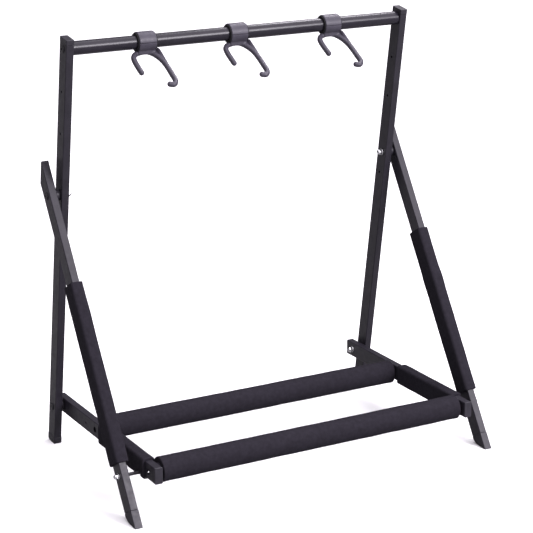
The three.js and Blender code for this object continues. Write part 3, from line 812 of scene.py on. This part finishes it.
def notch(rod_spot, play, width):
    """The cutter of an arm's notch for the leg's rod, open downward and flared to the rear."""
    radius = ROD_RADIUS + play
    forward, up = rod_spot.z, rod_spot.y
    mouth = -(TUBE_DEPTH / 2 + 6 * MM) - up
    flare = math.tan(NOTCH_FLARE)
    steps = 12
    angles = [math.pi * i / steps for i in range(steps + 1)]
    arc = [(up + radius * math.sin(a), forward + radius * math.cos(a)) for a in angles]
    outline = [*arc, (up - 1 * MM, forward - radius - 1.2 * MM),
               (up + mouth, forward - radius + mouth * flare), (up + mouth, forward + radius)]
    return side_prism("notch", outline, width)


def arm(side):
    sign = SIDES[side]
    node = f"{side}_arm"
    place = shifted(ARM_PLACE, middle(node).x)
    low, high = local_box(node, place)
    to_local = place.inverted()
    rod_spot = to_local @ REST_ROD
    tube = hollow_tube(node, low.z, high.z)
    drill(tube, PIVOT_RADIUS + BORE_PLAY, 0)
    drill(tube, SPARE_HOLE_RADIUS, ARM_SPARE_HOLE, 0, sign)
    for bar in (REAR_CROSSBAR, FRONT_CROSSBAR):
        height = (to_local @ bar).z
        drill(tube, ACCESS_HOLE_RADIUS, height, 0, sign)
        drill(tube, ROD_RADIUS + BORE_PLAY, height)
    cut(tube, notch(rod_spot, BORE_PLAY, 2 * TUBE_WIDTH))
    place_piece(tube, place, "powder_coat", "base_frame", node)

    for end, seat, direction in (("front", high.z, 1), ("rear", low.z, -1)):
        cap = f"{side}_arm_{end}_cap"
        box_low, box_high = local_box(cap, place)
        ends = (seat + GAP, box_high.z) if direction > 0 else (box_low.z, seat - GAP)
        piece = rounded_cap(cap, *ends, direction)
        place_piece(piece, place, "black_plastic", "base_frame", cap)

    name = f"{side}_arm_foam"
    skin, bore, bottom, top = sleeve_outlines(name, place)
    sleeve = foam_tube(name, skin, bore, bottom, top, SIDES[side] * 5.3)
    cut(sleeve, notch(rod_spot, FOAM_NOTCH_PLAY, 3 * TUBE_WIDTH))
    pad(sleeve, place, "base_frame", name)


def crossbar(name, origin):
    node = f"{name}_crossbar"
    round_bar(node, origin, "powder_coat", "base_frame", CROSSBAR_WALL)
    foam_node = f"{name}_crossbar_foam"
    low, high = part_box(foam_node)
    radius = (high.z - low.z) / 2
    bar_low, bar_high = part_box(node)
    bore = (bar_high.z - bar_low.z) / 2 + GAP
    sides = 72
    place = Matrix.Translation(origin) @ Matrix.Rotation(math.pi / 2, 4, "Y")

    def swell(z, normal):
        end = min(z - low.x, high.x - z)
        flare = math.exp(-(end / (9 * MM)) ** 2)
        return 0.5 * flare * MM

    sleeve = foam_tube(foam_node, circle(radius, sides), circle(bore, sides), low.x, high.x,
                       origin.y * 40, swell)
    pad(sleeve, place, "base_frame", foam_node)

    for side, sign in SIDES.items():
        screw = f"{node}_{side}_screw"
        low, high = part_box(screw)
        tip, crown = (low.x, high.x) if sign > 0 else (high.x, low.x)
        head = SCREW_HEAD_HEIGHT
        profile = [(tip, 0), (tip, ROD_RADIUS), (crown - sign * head, ROD_RADIUS),
                   (crown - sign * head, SCREW_HEAD_RADIUS), (crown - sign * 0.4 * MM, SCREW_HEAD_RADIUS),
                   (crown, 4.6 * MM), (crown, 0)]
        piece = socket(turned(screw, profile), crown, 2 * MM, sign, SOCKET_RADIUS)
        place_piece(piece, Matrix.Translation(origin), "black_steel", "base_frame", screw)


# ---------------------------------------------------------------- neck hooks

HOOK_LOW, HOOK_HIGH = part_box("middle_hook_clamp")
HOOK_WIDTH = HOOK_HIGH.x - HOOK_LOW.x
CLAMP_OUTER = HOOK_HIGH.z - BAR.z
LINER_OUTER = 14.3 * MM
FLANGE_RADIUS = 16.8 * MM
FLANGE_THICKNESS = 1.5 * MM
CLAMP_INNER = LINER_OUTER + GAP
FORK_PITCH = math.radians(28.5)        # prongs slope down to the front
FORK_DROP = 17 * MM                    # from the bar axis down to the fork's plane
PRONG_RADIUS = 5 * MM
RIB_RADIUS = 4.2 * MM
NECK_LOW = (-HOOK_WIDTH / 2, -12 * MM, -22 * MM)
NECK_HIGH = (HOOK_WIDTH / 2, 6 * MM, -8 * MM)
COLLAR_CHAMFER = 0.9 * MM
FAR = 0.1                              # reach of cutters that only have to be big enough

# Centre lines in the fork's plane, as millimetres along X and forward.
SHORT_PRONG = [(-30.5, 58), (-30.8, 40), (-30.3, 26), (-28, 15.5), (-20, 7), (-4, 2.5)]
LONG_PRONG = [(-4, 2.5), (5, 4.2), (12.5, 10), (19, 21), (23, 35), (24.3, 52), (24, 72), (24, 84),
              (21, 93), (15.5, 97.5), (9, 95.5)]
OUTER_RIB = [(17, -8), (25, -1), (25.8, 14), (25, 42)]
WEB_CORNERS = [(-19, 8), (-16, -8), (18, -10), (28, -2), (28, 20), (25, 42), (19, 22), (11, 10), (-4, 4)]


def flowing_line(points, steps=6):
    """A smooth line through points of the fork's plane."""
    line = []
    padded_points = [points[0], *points, points[-1]]
    for a, b, c, d in zip(padded_points, padded_points[1:], padded_points[2:], padded_points[3:]):
        a, b, c, d = (Vector(p) for p in (a, b, c, d))
        for i in range(steps):
            t = i / steps
            line.append(0.5 * ((2 * b) + (c - a) * t + (2 * a - 5 * b + 4 * c - d) * t * t
                               + (3 * b - a - 3 * c + d) * t ** 3))
    line.append(Vector(points[-1]))
    return [Vector((p.x * MM, -p.y * MM)) for p in line]


def add_prong(bm, points, radius):
    """A round bar along a line of the fork's plane, with ball ends."""
    line = flowing_line(points)
    rings = []
    for i, centre in enumerate(line):
        ahead = line[min(i + 1, len(line) - 1)] - line[max(i - 1, 0)]
        side = Vector((ahead.y, -ahead.x)).normalized()
        ring_points = [centre + side * p.x for p in circle(radius, 20)]
        heights = [p.y for p in circle(radius, 20)]
        rings.append([bm.verts.new((p.x, p.y, h)) for p, h in zip(ring_points, heights)])
    for first, second in zip(rings, rings[1:]):
        join_rings(bm, first, second)
    bm.faces.new(rings[0])
    bm.faces.new(rings[-1])
    for tip in (line[0], line[-1]):
        bmesh.ops.create_uvsphere(bm, u_segments=20, v_segments=12, radius=radius,
                                  matrix=Matrix.Translation((tip.x, tip.y, 0)))


def fork_web():
    """The floor between the collar, the arch and the outer rib, a little below the prongs' tops."""
    return prism("web", [(x * MM, -forward * MM) for x, forward in WEB_CORNERS], -4 * MM, 1 * MM)


def fork(name):
    """The hook's lower half: a half collar, a neck, and two prongs moulded in one."""
    bm = bmesh.new()
    add_prong(bm, SHORT_PRONG, PRONG_RADIUS)
    add_prong(bm, LONG_PRONG, PRONG_RADIUS)
    add_prong(bm, OUTER_RIB, RIB_RADIUS)
    piece = to_object(name, bm)
    merge(piece, fork_web())
    piece.data.transform(Matrix.Translation((0, 0, -FORK_DROP)) @ Matrix.Rotation(FORK_PITCH, 4, "X"))
    half = HOOK_WIDTH / 2
    merge(piece, soften(block("neck", NECK_LOW, NECK_HIGH), 2 * MM, 3))
    merge(piece, collar_blank("blank"))
    remesh = piece.modifiers.new("union", "REMESH")
    remesh.mode = "VOXEL"
    remesh.voxel_size = 0.75 * MM
    relax = piece.modifiers.new("relax", "SMOOTH")
    relax.factor = 0.5
    relax.iterations = 5
    settle(piece)
    cut(piece, block("upper", (-FAR, -FAR, -GAP / 2), (FAR, FAR, FAR)))
    cut(piece, rod("opening", CLAMP_INNER, -FAR, FAR, sides=64))
    for sign in SIDES.values():
        ends = (sign * half, sign * (half + FLANGE_THICKNESS + 2 * GAP))
        cut(piece, rod("flange_room", FLANGE_RADIUS + 2 * GAP, *ends, sides=64))
    return cut_seam(piece)


def merge(obj, other):
    """Adds another object's faces to obj, to be made one by a remesh."""
    bm = bmesh.new()
    bm.from_mesh(obj.data)
    bm.from_mesh(other.data)
    bmesh.ops.recalc_face_normals(bm, faces=bm.faces)
    bm.to_mesh(obj.data)
    bm.free()
    bpy.data.objects.remove(other)


def collar_blank(name):
    """The solid round collar, chamfered at its ends, before it is bored and parted."""
    half = HOOK_WIDTH / 2
    shoulder = half - COLLAR_CHAMFER
    edge = CLAMP_OUTER - COLLAR_CHAMFER * 0.8
    profile = [(-half, 0), (-half, edge), (-shoulder, CLAMP_OUTER),
               (shoulder, CLAMP_OUTER), (half, edge), (half, 0)]
    return turned(name, profile, 72)


def cut_seam(piece):
    """A small V along both parting lines, front and rear."""
    reach = HOOK_WIDTH
    size = 1.1 * MM
    for y in (-CLAMP_OUTER, CLAMP_OUTER):
        wedge = turned("wedge", [(-reach, 0), (-reach, size), (reach, size), (reach, 0)], 4)
        wedge.data.transform(Matrix.Translation((0, y, 0)))
        cut(piece, wedge)
    return piece


def clamp(name):
    """The hook's upper half collar."""
    piece = soften(collar_blank(name), 0.6 * MM, 3, 25)
    cut(piece, block("lower", (-FAR, -FAR, -FAR), (FAR, FAR, GAP / 2)))
    cut(piece, rod("opening", CLAMP_INNER, -FAR, FAR, sides=64))
    return cut_seam(piece)


def hook(name):
    origin = joint_place(f"{name}_hook_turn")
    place = Matrix.Translation(origin)
    place_piece(fork(f"{name}_hook_fork"), place, "hook_plastic", f"{name}_hook",
                f"{name}_hook_fork", shade=42)
    place_piece(clamp(f"{name}_hook_clamp"), place, "hook_plastic", f"{name}_hook",
                f"{name}_hook_clamp")
    low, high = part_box(f"{name}_hook_liner")
    bar_low, bar_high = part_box("top_bar")
    inner = (bar_high.z - bar_low.z) / 2 + GAP
    start, end = low.x - origin.x, high.x - origin.x
    flange = FLANGE_THICKNESS
    profile = [(start, inner), (start, FLANGE_RADIUS), (start + flange, FLANGE_RADIUS),
               (start + flange, LINER_OUTER), (end - flange, LINER_OUTER),
               (end - flange, FLANGE_RADIUS), (end, FLANGE_RADIUS), (end, inner)]
    liner = soften(turned(f"{name}_hook_liner", profile, closed=True), 0.4 * MM)
    place_piece(liner, place, "liner_rubber", f"{name}_hook_slider", f"{name}_hook_liner")


# ---------------------------------------------------------------- build

for side_name, side_sign in SIDES.items():
    upright(side_name)
    leg(side_name)
    arm(side_name)
    pivot(side_name, "leg", LEG_PIVOT)
    pivot(side_name, "base", BASE_PIVOT)
    bolt_piece(f"{side_name}_top_bar_bolt", BAR, side_sign, "back_frame", ROD_RADIUS)
    insert = frame["nodes"][f"{side_name}_top_bar_insert"]
    insert.data.materials.clear()
    insert.data.materials.append(MATERIALS["black_plastic"])

round_bar("top_bar", BAR, "gloss_coat", "back_frame")
crossbar("rear", REAR_CROSSBAR)
crossbar("front", FRONT_CROSSBAR)
for hook_name in ("left", "middle", "right"):
    hook(hook_name)

# ---------------------------------------------------------------- studio

CAMERA_AZIMUTH = math.radians(-29.206)
CAMERA_ELEVATION = math.radians(17.699)
CAMERA_ROLL = math.radians(0.454)
CAMERA_DISTANCE = 3.4601
CAMERA_LENS = 125.96
AIM = (CAD_BOUNDS[0] + CAD_BOUNDS[1]) / 2 + Vector((-0.0039, -0.0115, -0.0391))
LIGHT_TINT = (0.97, 0.93, 1.0)     # a faint violet, which the black pieces pick up
ROOM_LEVEL = 0.15                  # the backdrop's strength for everything but the camera
FLOOR_SEEN = 0.98                  # the floor's brightness to the camera
FLOOR_BOUNCE = 0.28                # and to light that bounces off it


def direction(azimuth, elevation):
    """From the rack towards a place round it; azimuth 0 is the front, 90 the right."""
    return Vector((math.sin(azimuth) * math.cos(elevation),
                   -math.cos(azimuth) * math.cos(elevation), math.sin(elevation)))


def make_camera():
    data = bpy.data.cameras.new("camera")
    data.lens = CAMERA_LENS
    data.sensor_width = 36
    camera = bpy.data.objects.new("camera", data)
    bpy.context.scene.collection.objects.link(camera)
    turn = (Matrix.Rotation(CAMERA_AZIMUTH, 4, "Z")
            @ Matrix.Rotation(math.pi / 2 - CAMERA_ELEVATION, 4, "X")
            @ Matrix.Rotation(CAMERA_ROLL, 4, "Z"))
    back = direction(CAMERA_AZIMUTH, CAMERA_ELEVATION)
    camera.matrix_world = Matrix.Translation(AIM + back * CAMERA_DISTANCE) @ turn
    bpy.context.scene.camera = camera


def soft_box(name, azimuth, elevation, distance, width, height, radiance):
    """A rectangular area light that faces the rack."""
    data = bpy.data.lights.new(name, "AREA")
    data.shape = "RECTANGLE"
    data.size = width
    data.size_y = height
    data.energy = radiance * math.pi * width * height
    data.color = LIGHT_TINT
    lamp = bpy.data.objects.new(name, data)
    bpy.context.scene.collection.objects.link(lamp)
    back = direction(math.radians(azimuth), math.radians(elevation))
    lamp.location = AIM + back * distance
    lamp.rotation_euler = back.to_track_quat("Z", "Y").to_euler()


def soft_sun(azimuth, elevation, spread, irradiance):
    """Even light from a wide patch of sky, which also reaches the far floor."""
    data = bpy.data.lights.new("sun", "SUN")
    data.angle = math.radians(spread)
    data.energy = irradiance
    data.color = LIGHT_TINT
    lamp = bpy.data.objects.new("sun", data)
    bpy.context.scene.collection.objects.link(lamp)
    back = direction(math.radians(azimuth), math.radians(elevation))
    lamp.rotation_euler = back.to_track_quat("Z", "Y").to_euler()


def make_floor():
    size = 30
    floor = prism("floor", [(-size, -size), (size, -size), (size, size), (-size, size)], -0.02, -0.0001)
    made = Surface("pale_floor", 0.9, specular=0.1)
    made.colour((0.97, 0.97, 0.97), (1, 1, 1), made.noise(3, 2))
    made.dimmed_for_bounces(FLOOR_SEEN, FLOOR_BOUNCE)
    floor.data.materials.append(made.material)


def make_world():
    """A white backdrop for the camera, and a much dimmer room for everything it lights."""
    world = bpy.data.worlds.new("studio")
    world.use_nodes = True
    nodes, links = world.node_tree.nodes, world.node_tree.links
    background = nodes["Background"]
    background.inputs["Color"].default_value = (1, 1, 1, 1)
    seen = nodes.new("ShaderNodeLightPath")
    level = nodes.new("ShaderNodeMapRange")
    level.inputs["To Min"].default_value = ROOM_LEVEL
    level.inputs["To Max"].default_value = 1.0
    links.new(seen.outputs["Is Camera Ray"], level.inputs["Value"])
    links.new(level.outputs["Result"], background.inputs["Strength"])
    bpy.context.scene.world = world
    bpy.context.scene.view_settings.view_transform = "Standard"


make_camera()
make_world()
make_floor()
soft_sun(25, 66, 110, 5)
soft_box("front_box", 27, 29, 4, 1.2, 1.3, 30)
soft_box("back_box", 133, 50, 1.9, 0.5, 0.3, 20)
